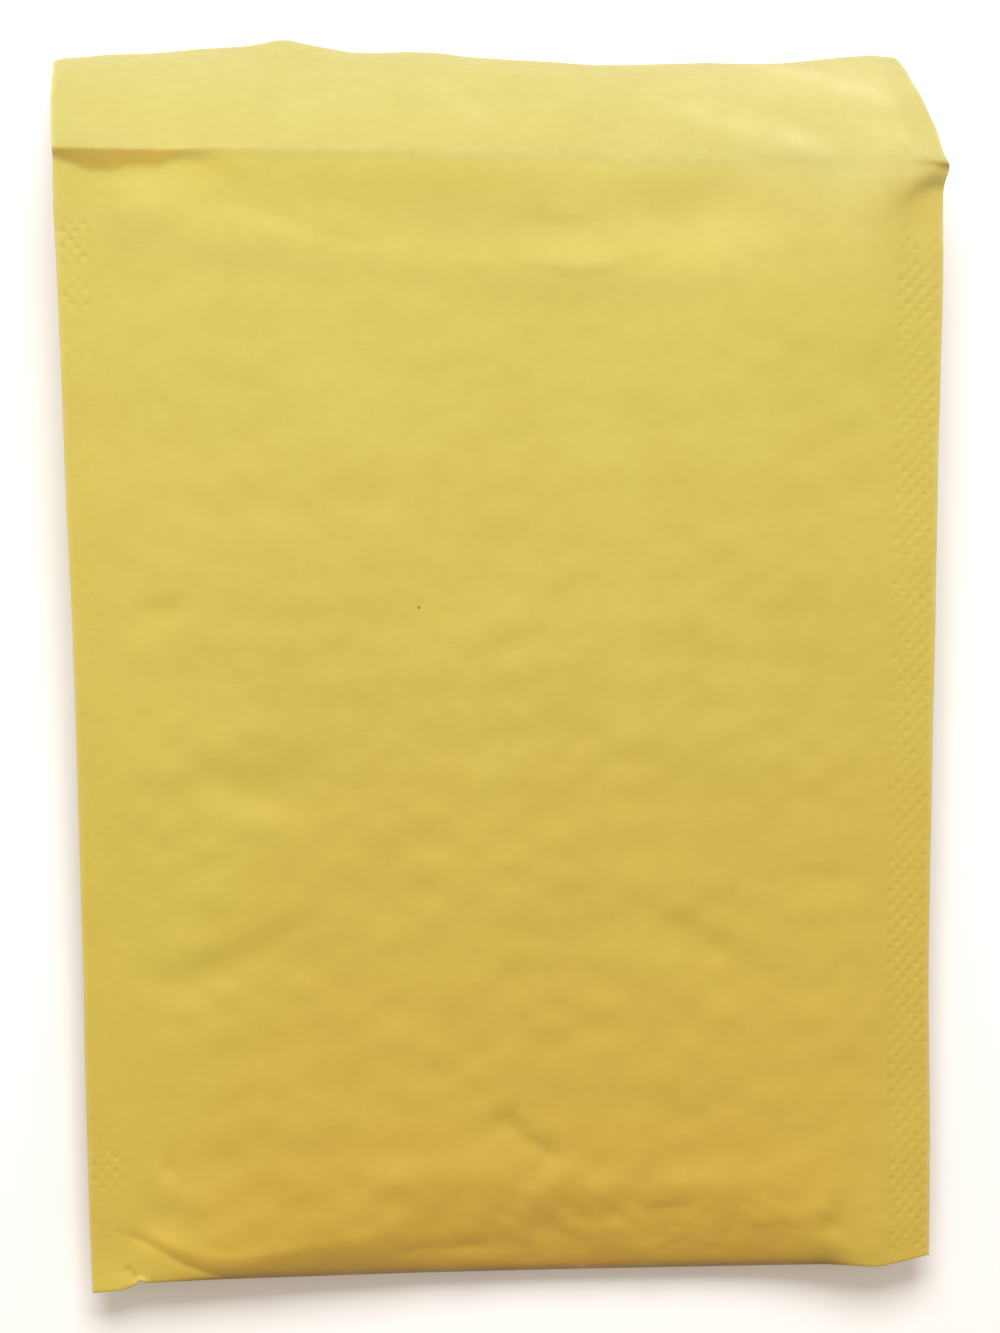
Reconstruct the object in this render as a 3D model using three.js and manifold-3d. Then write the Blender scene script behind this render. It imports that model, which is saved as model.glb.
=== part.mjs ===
import * as THREE from "three";
import { mergeVertices } from "three/addons/utils/BufferGeometryUtils.js";
import Module from "manifold-3d";

// A padded envelope lying on its back, plain side up, mouth end propped on its bent-down flap.
// Millimetres. X across the width, Y from the bottom fold to the flap, Z up, origin under the middle of the bounding box.

// Driving dimensions
const WIDTH = 170; // across both side seals
const SEAL = 9.2; // width of each side seal
const PAPER = 0.25; // kraft paper with the film fused to it
const SEAL_HALF = 0.3; // half the thickness of a side seal
const LIP = 212; // the back panel's top edge, from the bottom fold
const CREASE = 222; // the flap's crease, from the bottom fold
const CREASE_Z = 33; // the crease above the table
const FLAP_REACH = 23.5; // the flap's free edge past the crease
const FLAP_START = 36; // the flap's slope at the crease, degrees
const BODY_FRONT = 2.9; // front panel above the seal plane in the lower half
const BODY_BACK = 9.4; // seal plane above the table in the lower half
const MOUTH_FRONT = 3.3; // front panel above the seal plane at the mouth
const MOUTH_BACK_Z = 14.5; // back panel above the table at the mouth
const RISE = 19.4; // rise of the seal plane up to the crease
const RISE_FROM = 32; // where the seal plane starts to rise
const BACK_FROM = 55; // where the back panel leaves the table
const FLAT_HALF = 50; // half-width of the flat middle of both panels
const NOSE = 18; // length of the rounded bottom end
const FOLD_SAG = 6; // the bottom fold's middle below its ends
const LINING = 3.5; // thickness of the bubble film
const LINING_GAP = 0.3; // between paper and film
const LINING_TOP = 207; // the film's top edge, from the bottom fold
const LINING_HALF = 72; // half-width of the film
const POCKET_HALF = 66; // half-width of the space inside
const STRIP_GAP = 0.1; // between the layers on the flap
const ADHESIVE = { from: 17, to: 31, half: 80, thick: 0.2 }; // along the flap from the crease
const RELEASE = { from: 14.5, to: 33.5, half: 83, thick: 0.2 };

const HALF = WIDTH / 2;
const INNER = HALF - SEAL;
const LENGTH = CREASE + FLAP_REACH;
const rad = Math.PI / 180;

// The flap as a circular arc from the crease down to the table, by arc length.
const LAST_TURN = 3.6; // slope of the last facet is this much less than the arc's end, degrees
const flapDrop = (() => {
  // the free edge's inner corner touches the table
  let drop = CREASE_Z;
  for (let k = 0; k < 20; k++) {
    const chord = Math.atan2(drop, FLAP_REACH);
    drop = CREASE_Z - PAPER * Math.cos(2 * chord - (FLAP_START + LAST_TURN) * rad);
  }
  return drop;
})();
const chordAngle = Math.atan2(flapDrop, FLAP_REACH);
const flapEnd = 2 * chordAngle - FLAP_START * rad;
const flapRadius =
  Math.hypot(flapDrop, FLAP_REACH) /
  (2 * Math.sin((flapEnd - FLAP_START * rad) / 2));
const FLAP_LENGTH = flapRadius * (flapEnd - FLAP_START * rad);

function flapPoint(s, below = 0) {
  const a0 = FLAP_START * rad,
    a = a0 + s / flapRadius;
  const y = CREASE + flapRadius * (Math.sin(a) - Math.sin(a0));
  const z = CREASE_Z - flapRadius * (Math.cos(a0) - Math.cos(a));
  return [y - below * Math.sin(a), z - below * Math.cos(a)];
}

// Height of the seal plane, and how far each panel stands off it.
const seam = (y) =>
  BODY_BACK +
  RISE * Math.pow(Math.max(0, y - RISE_FROM) / (CREASE - RISE_FROM), 1.6);
const backMiddle = (y) =>
  MOUTH_BACK_Z * Math.pow(Math.max(0, y - BACK_FROM) / (LIP - BACK_FROM), 1.7);
const smooth = (a, b, v) => {
  const k = Math.min(1, Math.max(0, (v - a) / (b - a)));
  return k * k * (3 - 2 * k);
};
const frontStand = (y) =>
  BODY_FRONT + (MOUTH_FRONT - BODY_FRONT) * smooth(110, LIP, y) - SEAL_HALF;
const backStand = (y) => seam(y) - backMiddle(y) - SEAL_HALF;
function across(x) {
  const s = Math.min(1, Math.max(0, Math.abs(x) - FLAT_HALF) / (INNER - FLAT_HALF));
  return Math.pow(1 - s * s, 0.8);
}
function nose(y, start, length, least = 0) {
  const k = Math.min(1, Math.max(0, (y - start) / length));
  return Math.max(least, Math.sqrt(1 - (1 - k) * (1 - k)));
}
// Between the panels: the seal plane, sagging to the middle of the bottom fold.
const base = (x, y) => seam(y) - FOLD_SAG * across(x) * (1 - nose(y, 0, NOSE));
function frontZ(x, y) {
  const z = base(x, y) + SEAL_HALF + frontStand(y) * across(x) * nose(y, 0, NOSE);
  const lift = smooth(LINING_TOP + 1, CREASE, y);
  return z + (CREASE_Z - z) * lift;
}
const backZ = (x, y) =>
  base(x, y) - SEAL_HALF - backStand(y) * across(x) * nose(y, 0, NOSE);

// Stations across the width and along the panels.
const HALF_X = [0, 25, FLAT_HALF, 57, 63, 68, LINING_HALF, 74.2, INNER, 80.4, HALF];
const mirrored = (list) => [...list.slice(1).map((v) => -v).reverse(), ...list];
const X = mirrored(HALF_X);
const BODY_Y = [0.3, 1.5, 4, 8, 13, NOSE, 36, BACK_FROM, 75, 95, 115, 135, 155, 175, 192, LINING_TOP, LIP];
const FRONT_Y = [...BODY_Y, 216, 219.5, CREASE];
const FLAP_S = [5, 10, 14.5, 17, 24, 31, 33.5, FLAP_LENGTH];

const wasm = await Module();
wasm.setup();

// A box blank whose vertices are moved to place(i, j, outer): i across, j along, outer for the upper face.
function blank(columns, rows, place) {
  const g = new THREE.BoxGeometry(1, 1, 1, columns - 1, rows - 1, 1);
  const p = g.getAttribute("position");
  for (let k = 0; k < p.count; k++) {
    const i = Math.round((p.getX(k) + 0.5) * (columns - 1));
    const j = Math.round((p.getY(k) + 0.5) * (rows - 1));
    const [x, y, z] = place(i, j, p.getZ(k) > 0);
    p.setXYZ(k, x, y, z);
  }
  return g;
}
function solid(geometry) {
  const g = mergeVertices(
    new THREE.BufferGeometry()
      .setAttribute("position", geometry.getAttribute("position"))
      .setIndex(geometry.getIndex()),
    1e-4,
  );
  return new wasm.Manifold(
    new wasm.Mesh({
      numProp: 3,
      vertProperties: new Float32Array(g.getAttribute("position").array),
      triVerts: new Uint32Array(g.getIndex().array),
    }),
  );
}
function geometryOf(made) {
  const m = made.getMesh();
  const g = new THREE.BufferGeometry();
  g.setAttribute("position", new THREE.BufferAttribute(new Float32Array(m.vertProperties), 3));
  g.setIndex(new THREE.BufferAttribute(new Uint32Array(m.triVerts), 1));
  g.computeVertexNormals();
  return g;
}

// The paper's outer line at one station across: back panel, bottom fold, front panel, flap.
function outerLine(x) {
  return [
    ...[...BODY_Y].reverse().map((y) => [y, backZ(x, y)]),
    [0, base(x, 0)],
    ...FRONT_Y.map((y) => [y, frontZ(x, y)]),
    ...FLAP_S.map((s) => flapPoint(s)),
  ];
}
// The same line moved inwards by the paper's thickness.
function innerLine(line) {
  const normal = (a, b) => {
    const dy = b[0] - a[0],
      dz = b[1] - a[1],
      l = Math.hypot(dy, dz);
    return [-dz / l, dy / l];
  };
  return line.map((p, j) => {
    const n1 = normal(line[Math.max(0, j - 1)], line[Math.max(1, j)]);
    const n2 = normal(
      line[Math.min(line.length - 2, j)],
      line[Math.min(line.length - 1, j + 1)],
    );
    const l = Math.hypot(n1[0] + n2[0], n1[1] + n2[1]);
    const m = [(n1[0] + n2[0]) / l, (n1[1] + n2[1]) / l];
    const off = PAPER / Math.max(0.6, m[0] * n1[0] + m[1] * n1[1]);
    return [p[0] - off * m[0], p[1] - off * m[1]];
  });
}

// One folded sheet, with its side edges fused by a seal strip between the two panels.
function kraftSleeve() {
  const outer = X.map(outerLine),
    inner = outer.map(innerLine);
  const sheet = solid(
    blank(X.length, outer[0].length, (i, j, out) => [X[i], ...(out ? outer : inner)[i][j]]),
  );
  const sealY = [0.2, ...BODY_Y.slice(0, -1), LIP - 1];
  const edge = [INNER, 80.4, HALF];
  const strip = (side) => {
    const xs = side > 0 ? edge : edge.map((v) => -v).reverse();
    return solid(
      blank(xs.length, sealY.length, (i, j, up) => [
        xs[i],
        sealY[j],
        seam(sealY[j]) + (up ? SEAL_HALF / 2 : -SEAL_HALF / 2),
      ]),
    );
  };
  return wasm.Manifold.union([sheet, strip(-1), strip(1)]);
}

// The film: a padded sock inside the paper, open at the mouth.
function bubbleLining() {
  const inset = PAPER + LINING_GAP,
    deep = inset + LINING;
  const xs = X.filter((x) => Math.abs(x) <= LINING_HALF);
  const ys = [1.4, 4, 8, 13, NOSE, ...BODY_Y.filter((y) => y > NOSE && y <= LINING_TOP)];
  const body = solid(
    blank(xs.length, ys.length, (i, j, up) => {
      const x = xs[i],
        y = ys[j],
        n = across(x) * nose(y, 1.2, NOSE - 1.2, 0.3);
      return [
        x,
        y,
        up
          ? base(x, y) + SEAL_HALF + frontStand(y) * n - inset
          : base(x, y) - SEAL_HALF - backStand(y) * n + inset,
      ];
    }),
  );
  const cx = mirrored([0, 25, FLAT_HALF, 57, 63, POCKET_HALF]);
  const cy = [6.5, 9, 13, NOSE, ...BODY_Y.filter((y) => y > NOSE && y <= LINING_TOP), LINING_TOP + 4];
  const hollow = solid(
    blank(cx.length, cy.length, (i, j, up) => {
      const x = cx[i],
        y = Math.min(cy[j], LINING_TOP),
        n = across(x) * nose(y, 5, NOSE - 5, 0.75);
      return [
        x,
        cy[j],
        up
          ? base(x, y) + SEAL_HALF + frontStand(y) * n - deep
          : base(x, y) - SEAL_HALF - backStand(y) * n + deep,
      ];
    }),
  );
  return body.subtract(hollow);
}

// A strip along the inner face of the flap, at a depth under its outer face.
function flapStrip(size, depth) {
  const s = [size.from, ...FLAP_S.filter((v) => v > size.from && v < size.to), size.to];
  const xs = [-size.half, -size.half / 2, 0, size.half / 2, size.half];
  return solid(
    blank(xs.length, s.length, (i, j, out) => [
      xs[i],
      ...flapPoint(s[j], depth + (out ? 0 : size.thick)),
    ]),
  );
}

const part = new THREE.Group();
part.name = "padded_envelope";
function add(name, made, colour, roughness) {
  const g = geometryOf(made);
  g.translate(0, -LENGTH / 2, 0);
  const m = new THREE.Mesh(g, new THREE.MeshStandardMaterial({ color: colour, roughness }));
  m.name = name;
  part.add(m);
}
add("kraft_sleeve", kraftSleeve(), 0xd9be5c, 0.75);
add("bubble_lining", bubbleLining(), 0xe9edee, 0.35);
add("adhesive_strip", flapStrip(ADHESIVE, PAPER + STRIP_GAP), 0xe8dfb4, 0.4);
add(
  "release_strip",
  flapStrip(RELEASE, PAPER + STRIP_GAP + ADHESIVE.thick + STRIP_GAP),
  0xf3f1ea,
  0.45,
);

export default part;
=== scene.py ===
import math

import bpy
import numpy as np
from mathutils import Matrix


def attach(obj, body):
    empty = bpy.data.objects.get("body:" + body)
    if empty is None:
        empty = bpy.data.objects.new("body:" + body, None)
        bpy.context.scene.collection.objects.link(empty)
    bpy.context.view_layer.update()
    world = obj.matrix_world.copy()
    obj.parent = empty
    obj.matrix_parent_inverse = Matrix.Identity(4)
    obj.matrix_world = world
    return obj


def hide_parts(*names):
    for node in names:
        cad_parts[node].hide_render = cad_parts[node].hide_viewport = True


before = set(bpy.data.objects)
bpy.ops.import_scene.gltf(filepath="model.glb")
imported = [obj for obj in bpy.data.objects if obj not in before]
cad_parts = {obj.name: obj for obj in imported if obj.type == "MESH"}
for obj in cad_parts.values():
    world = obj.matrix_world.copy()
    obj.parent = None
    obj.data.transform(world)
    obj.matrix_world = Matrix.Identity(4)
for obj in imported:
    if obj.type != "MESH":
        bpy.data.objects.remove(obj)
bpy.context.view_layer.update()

# ---------------------------------------------------------------------------
# The envelope's sheet, in millimetres: u across, w along the sheet from the
# bottom fold (negative on the back panel, positive on the front panel, past
# CREASE on the flap). The row frame's y is measured from the middle, Y0.
# ---------------------------------------------------------------------------
HALF, INNER = 85.0, 75.8  # half width, and to the side seals
LIP, CREASE = 212.0, 222.0
FLAP = 41.4  # length of the flap
PAPER = 0.18
SEAL = 0.34  # half thickness of the side seals
Y0 = 122.75
PITCH = 9.65  # of the bubbles


def smooth(a, b, v):
    k = np.clip((v - a) / (b - a), 0, 1)
    return k * k * (3 - 2 * k)


def knots(v, pairs):
    """A smooth curve through (place, value) pairs, by slopes that never overshoot."""
    x, y = np.array(pairs, float).T
    d = np.diff(y) / np.diff(x)
    m = np.concatenate([[d[0]], np.where(d[:-1] * d[1:] > 0, 2 * d[:-1] * d[1:] / (d[:-1] + d[1:] + 1e-12), 0), [d[-1]]])
    v = np.clip(v, x[0], x[-1])
    i = np.clip(np.searchsorted(x, v, side="right") - 1, 0, len(x) - 2)
    h = x[i + 1] - x[i]
    t = (v - x[i]) / h
    return (
        y[i] * (1 + 2 * t) * (1 - t) ** 2
        + h * m[i] * t * (1 - t) ** 2
        + y[i + 1] * t * t * (3 - 2 * t)
        + h * m[i + 1] * t * t * (t - 1)
    )


def noise(x, y, size, seed):
    """Gradient noise with features of about that size, from about -1 to 1."""
    a = np.random.default_rng(seed).uniform(0, 2 * math.pi, (64, 64))
    gx, gy = x / size + 512.37, y / size + 512.71
    i, j = np.floor(gx).astype(int), np.floor(gy).astype(int)
    fx, fy = gx - i, gy - j
    sx, sy = fx**3 * (fx * (fx * 6 - 15) + 10), fy**3 * (fy * (fy * 6 - 15) + 10)

    def corner(p, q):
        t = a[(i + p) % 64, (j + q) % 64]
        return np.cos(t) * (fx - p) + np.sin(t) * (fy - q)

    low = corner(0, 0) * (1 - sx) + corner(1, 0) * sx
    high = corner(0, 1) * (1 - sx) + corner(1, 1) * sx
    return 1.5 * (low * (1 - sy) + high * sy)


def spot(x, y, cx, cy, along, across, turn=0.0):
    """A soft oval, 1 in its middle."""
    c, s = math.cos(math.radians(turn)), math.sin(math.radians(turn))
    p, q = (x - cx) * c + (y - cy) * s, (y - cy) * c - (x - cx) * s
    return np.exp(-0.5 * ((p / along) ** 2 + (q / across) ** 2))


def near(x, y, line):
    """Signed distance to a line of points (positive to its left), and the place along it from 0 to 1."""
    line = np.array(line, float)
    step = np.diff(line, axis=0)
    long = np.hypot(*step.T)
    start = np.concatenate([[0], np.cumsum(long)])
    best, side, place = np.full(np.shape(x), 1e9), np.zeros(np.shape(x)), np.zeros(np.shape(x))
    for p, d, l, s in zip(line, step, long, start):
        t = np.clip(((x - p[0]) * d[0] + (y - p[1]) * d[1]) / (l * l), 0, 1)
        far = np.hypot(x - p[0] - t * d[0], y - p[1] - t * d[1])
        sign = np.sign(d[0] * (y - p[1]) - d[1] * (x - p[0]))
        closer = far < best
        best, side, place = (
            np.where(closer, far, best),
            np.where(closer, sign, side),
            np.where(closer, (s + t * l) / start[-1], place),
        )
    return best * side, place


def ends(t, k=0.25):
    return smooth(0, k, t) * smooth(0, k, 1 - t)


def groove(x, y, line, depth, width):
    """A soft furrow (or, with depth below 0, a swelling) along a line."""
    d, t = near(x, y, line)
    return -depth * np.exp(-0.5 * (d / width) ** 2) * (0.15 + 0.85 * ends(t)) * (np.abs(d) < 6 * width)


def pleat(x, y, line, height, left, right, k=0.25):
    """A sharp ridge whose two sides fall away over their own widths."""
    d, t = near(x, y, line)
    return height * np.where(d > 0, np.exp(-np.abs(d) / left), np.exp(-np.abs(d) / right)) * ends(t, k)


def dent(x, y, line, depth, left, right, k=0.4):
    """A hollow, deepest along a line, whose two sides rise over their own widths."""
    d, t = near(x, y, line)
    return depth * np.where(d > 0, 1 - smooth(0, left, d), 1 - smooth(0, right, -d)) * ends(t, k)


# ---- outline --------------------------------------------------------------
FOLD_LINE = [(-85, 3.2), (-79.5, 3.4), (-77.6, 3.9), (-76.5, 4.3), (-75.8, 5.2), (-74.6, 4.6), (-62, 4.6), (-52, 4.4), (-22, 3.8), (8, 2.9), (39, 1.8), (63, 0.9), (74, -0.3), (79.4, 0.6), (85, 1.7)]
FREE_EDGE = [(-85, 245.4), (-82.9, 245.8), (-79, 246.0), (-74.2, 246.4), (-56.6, 247.9), (-47.8, 248.4), (-44.8, 248.8), (-41.8, 249.5), (-38.9, 249.5), (-35.9, 248.8), (-33, 248.2), (-27.1, 247.1), (-21.1, 246.9), (-15.2, 247.2), (-9.2, 246.8), (-3.2, 246), (8.8, 245.2), (20.9, 244.3), (30, 244.3), (45.2, 244.6), (54.4, 243.9), (60.6, 244.1), (66.8, 244.6), (73, 245.2), (79.2, 245.6), (85, 245.3)]
LEFT_EDGE = [(0, -0.04), (23, -0.16), (43, -0.11), (63, 0.15), (82, 0.24), (102, 0.34), (122, 0.46), (141, 0.39), (160, 0.14), (198, 0.05), (216, -0.17), (223.5, 0), (226, -0.1), (231, -0.1), (238, 0.0), (246, 0.2)]
RIGHT_EDGE = [(0, -0.62), (8, -0.4), (35, 0.14), (55, 0.1), (76, 0.32), (96, 0.61), (117, 0.81), (137, 0.91), (176, 0.87), (195, 0.94), (212, 0.62), (216, 0.66), (218, 0.85), (219.4, 1.35), (221.5, 0.25), (224, -0.3), (227.5, -0.9), (230, -1.6), (232.4, -2.1), (235, -2.6), (238, -3.4), (242.4, -3.6), (246, -2.9)]
CREASE_LINE = [(-85, 29.6), (-80, 31.2), (-76, 32.0), (-70, 32.3), (-66, 32.5), (-62, 32.4), (-56, 32.5), (-40, 32.8), (0, 33.1), (40, 32.6), (52, 31.8), (58, 30.8), (64, 29.5), (68, 28.9), (72, 28.6), (76, 28.6), (79, 28.9), (82, 29.2), (85, 29.3)]
EYE = (-65.871, 151.95, 568.856)  # the view along which the outline tables were measured


def crease_z(u):
    return knots(u, CREASE_LINE) + 0.15 * noise(u, 0 * u, 30, 62)


def crease_y(u):
    lean = knots(u, [(-85, 0.5), (-65, 0.6), (-55, 1.1), (-40, 1.5), (-20, 1.7), (12, 1.7), (22, 1.0), (40, 1.0), (60, 1.2), (80, 1.0), (85, 0.7)])
    return 221.55 - 0.0285 * u + lean + 0.13 * (33.1 - crease_z(u))


def fold_y(u, v):
    """The bottom fold's place: its true line close to it, a straight one further up."""
    plain = 0.889 - 0.02184 * u
    return plain, (np.interp(u, *np.array(FOLD_LINE).T) - plain) * np.exp(-v / 7)


def drawn_in(u, y):
    return knots(y, LEFT_EDGE) * np.clip((-u - 35) / 50, 0, 1) ** 2 + knots(y, RIGHT_EDGE) * np.clip((u - 35) / 50, 0, 1) ** 2


# ---- section --------------------------------------------------------------
def middle(v):
    """The front panel's middle line: level at the lower end, rising towards the propped mouth."""
    return 12.3 + 19.8 * (np.maximum(0, v - 32) / 190) ** 1.6


def back_middle(v):
    return 14.5 * (np.maximum(0, v - 55) / 157) ** 1.7


def belly(u):
    """How far the back panel hangs below the seals, from 1 in the middle to 0."""
    return 0.5 + 0.5 * np.cos(math.pi * np.clip((np.abs(u) - 44) / (INNER - 44), 0, 1))


def top(u, v):
    """The front panel without its bottom end: it falls away a little to its edges."""
    z = middle(v) - 3.0 * np.clip((np.abs(u) - 50) / 35, 0, 1) ** 1.6
    z = z - 1.5 * smooth(150, 200, v) * np.clip((u - 70) / 15, 0, 1) ** 1.3
    return z - 0.7 * smooth(170, 205, v) * np.clip((-u - 72) / 13, 0, 1) ** 1.3


FALL = [(-85, 0), (-80, 0.1), (-76, 0.6), (-68, 1.5), (-60, 2.9), (-45, 5.4), (-30, 6.8), (-15, 8.0), (10, 8.5), (38, 8.2), (52, 6.5), (62, 3.2), (70, 0.6), (76, 0), (85, 0)]
NOSE = [(-80, 2.4), (-76, 2.8), (-68, 3.7), (-60, 5.6), (-45, 9.5), (-30, 12.5), (-16, 20), (8, 22.5), (36, 21), (52, 16), (67.5, 6), (76, 4)]
NOSE_FROM = [(-85, 14.5), (-76.5, 10.7), (-72, 8.1), (-68.3, 5.4), (-64, 3.0), (-59.8, 1.3), (-56, 0.3), (-54, 0), (85, 0)]
FACET = [(-85, 1.5), (-82.5, 2.2), (-79.7, 3.3), (-78.2, 3.7), (-74, 3.8), (-70.6, 3.0), (-68.3, 3.0), (-65.5, 3.1), (-63.6, 2.4), (-61.5, 1.8), (-58, 2.6), (-52, 7), (-45, 12.5), (-30, 15.5), (-14, 19.5), (18, 21.5), (41, 16), (55, 12), (63, 12), (74, 11), (77, 8.5), (79, 5.6), (81, 4.9), (83, 4.6), (85, 4.8)]
STEEP = [(-85, 1.0), (-64, 1.0), (-54, 1.6), (-30, 1.9), (50, 1.8), (62, 1.3), (76, 1.1), (85, 1.0)]


def hexagons(x, y):
    """The bubbles' pattern: 1 on each bubble, 0 between three of them."""
    f = 2 * math.pi / (PITCH * math.sqrt(3) / 2)
    g1, g2, g3 = f * x, f * (0.5 * x + math.sqrt(3) / 2 * y), f * (0.5 * x - math.sqrt(3) / 2 * y)
    return (np.cos(g1) + np.cos(g2) + np.cos(g3) + 1.5) / 4.5


def bubble_relief(x, y, seed):
    """The film's bubbles showing through the paper, unevenly."""
    wx = x + 3.0 * noise(x, y, 22, seed + 1)
    wy = y + 2.6 * noise(x, y, 20, seed + 2)
    much = np.clip(0.55 + 0.9 * noise(x, y, 19, seed + 3) + 0.4 * noise(x, y, 8, seed + 4), 0.05, 1.3)
    return hexagons(wx, wy) * much


def front_relief(x, y):
    """Dents and creases of the plain side, in mm."""
    z = 0.24 * bubble_relief(x, y, 10) * knots(y, [(0, 1.3), (80, 1.2), (120, 0.9), (160, 0.5), (210, 0.3)])
    z += 0.22 * noise(0.7 * x, y, 30, 21) + 0.21 * noise(0.5 * x, y, 7.5, 22) * knots(y, [(0, 1.4), (100, 1.0), (160, 0.6), (215, 0.35)])
    z += 0.03 * noise(0.5 * x, y, 4.5, 23)
    # under the flap's crease
    z += groove(x, y, [(-76, 214.5), (-54, 209), (-30, 206.5), (-15, 203), (18, 201), (41, 206), (60, 213)], -0.5, 4.3)
    z += 0.5 * spot(x, y, -70, 213.0, 5.5, 3.6, 8)
    z -= pleat(x, y, [(-60.6, 217.0), (-48.7, 212.5), (-31.9, 208)], 0.26, 3.4, 3.0, 0.35)
    z += pleat(x, y, [(0, 203.6), (9.9, 201.5), (15.7, 201.2), (25.5, 202.8)], 0.34, 4.0, 0.8, 0.35)
    z -= pleat(x, y, [(-48.3, 213.6), (-45.5, 212.7), (-39.4, 210.1), (-34.5, 208.0), (-30.0, 206.7), (-23.4, 206.9), (-17.3, 207.4)], 0.16, 1.4, 2.2, 0.3)
    # middle
    z -= dent(x, y, [(-66, 105), (-57, 103.6), (-47, 103.6), (-36, 105.6)], 0.8, 6.2, 9.5, 0.45)
    z -= dent(x, y, [(-75, 138.0), (-68, 137.4), (-60, 138.3)], 0.46, 4.2, 9.0, 0.45)
    z -= dent(x, y, [(-76, 61.0), (-56.3, 68.2), (-30, 77.8)], 0.85, 6.4, 11.0, 0.4)
    z -= dent(x, y, [(18, 79), (36.6, 69), (52, 58.5)], 0.5, 6.0, 9.0, 0.45)
    z -= dent(x, y, [(50, 83.2), (62, 80.6), (74, 77.8)], 0.5, 4.2, 8.0, 0.45)
    z += 0.35 * spot(x, y, 38, 107.8, 9.5, 3.0, -6)
    z -= pleat(x, y, [(-62, 124.5), (-54, 123.6), (-46, 125)], 0.24, 2.6, 2.4, 0.45)
    z -= 0.2 * spot(x, y, -36.7, 158, 9, 2.6, 0)
    # lower end
    z -= pleat(x, y, [(-5.1, 38.4), (-2.0, 34.4), (1.1, 31.3), (9.4, 25.4)], 1.25, 1.9, 4.6, 0.25)
    z += groove(x, y, [(-37, 22.5), (-18, 24.5), (0, 25.5)], -0.5, 3.2)
    z -= pleat(x, y, [(-72.5, 28.6), (-69.5, 28.2), (-66.5, 27.2)], 0.5, 1.7, 2.2, 0.45)
    z += groove(x, y, [(-76, 30), (-68, 23.5), (-58, 18.5)], -0.45, 2.2)
    return z


def lower_creases(x, y):
    """Sharp creases beside the bottom fold."""
    z = -pleat(x, y, [(9.4, 25.5), (11, 15.4), (11.9, 4.0)], 0.5, 1.6, 2.6, 0.2)
    z -= pleat(x, y, [(-78.6, 9.6), (-76.9, 7.4), (-75.2, 4.4)], 0.6, 0.6, 0.8, 0.2)
    z -= pleat(x, y, [(-27, 8.2), (-17, 10.4)], 0.35, 1.6, 2.0, 0.3)
    z -= pleat(x, y, [(26.5, 5.6), (30.5, 7.2), (34.5, 10.0)], 0.45, 1.0, 1.6, 0.3)
    z -= pleat(x, y, [(44, 9.5), (53, 11), (60, 8)], 0.3, 1.8, 2.2, 0.4)
    z -= pleat(x, y, [(58, 14.5), (64.5, 9.0), (70.5, 2.8)], 0.5, 2.4, 1.5, 0.3)
    z += 1.0 * np.abs(noise(x, y, 12, 33)) * spot(x, y, 16, 12, 40, 8) + 0.65 * np.abs(noise(x + 0.5 * y, y, 7, 34)) * spot(x, y, 18, 11, 38, 7)
    z += 0.35 * noise(x, y, 12, 32) * spot(x, y, 14, 15, 42, 8)
    return z


def back_relief(x, y):
    return 0.22 * bubble_relief(x, y, 40) + 0.12 * noise(x, y, 30, 51) + 0.04 * noise(x, y, 6, 52)


# ---- panels ---------------------------------------------------------------
def rolled(u, v):
    """The small roll of the bottom fold: how far either panel stands off the fold's line, and its most."""
    c = knots(u, FALL) / 8.5
    k = np.clip(v / (0.4 + 1.5 * c), 0, 1)
    most = SEAL + 1.5 * c
    return most * np.sqrt(1 - (1 - k) ** 2), most


def plain_front(u, v):
    """The front panel's height without its creases: it turns down to the bottom fold, which sags in its middle."""
    high = top(u, v)
    fold = top(u, 0 * v) - SEAL - knots(u, FALL)
    roll, most = rolled(u, v)
    k = np.clip((v - knots(u, NOSE_FROM)) / knots(u, NOSE), 0, 1)
    return fold + roll + (high - fold - most) * (4 * k - k**4) / 3


def place(u, v):
    """Where the sheet lies, seen from above."""
    plain, local = fold_y(u, v)
    y = plain + (crease_y(u) - plain) * v / CREASE + local
    x = u + drawn_in(u, y)
    # from the height at which the outline was measured to the sheet's own, along the view
    k = np.clip(v / 14, 0, 1)
    was = 5.6 + 22 * (np.maximum(0, v - 32) / 190) ** 1.6 + 6.6 * belly(u) * k * (2 - k)
    f = 1 + smooth(221, 200, v) * ((EYE[2] - plain_front(u, v)) / (EYE[2] - was) - 1)
    return EYE[0] + (x - EYE[0]) * f, EYE[1] + (y - EYE[1]) * f


def hollow(x, y):
    """The hollow under the right end of the crease, in both panels."""
    tip = crease_y(np.array(85.0))
    return dent(x, y, [(73, tip - 10.0), (76, tip - 8.4), (80, tip - 6.4), (84, tip - 4.8), (94, tip - 1.0)], 1.0, 3.6, 12.0, 0.3)


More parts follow.
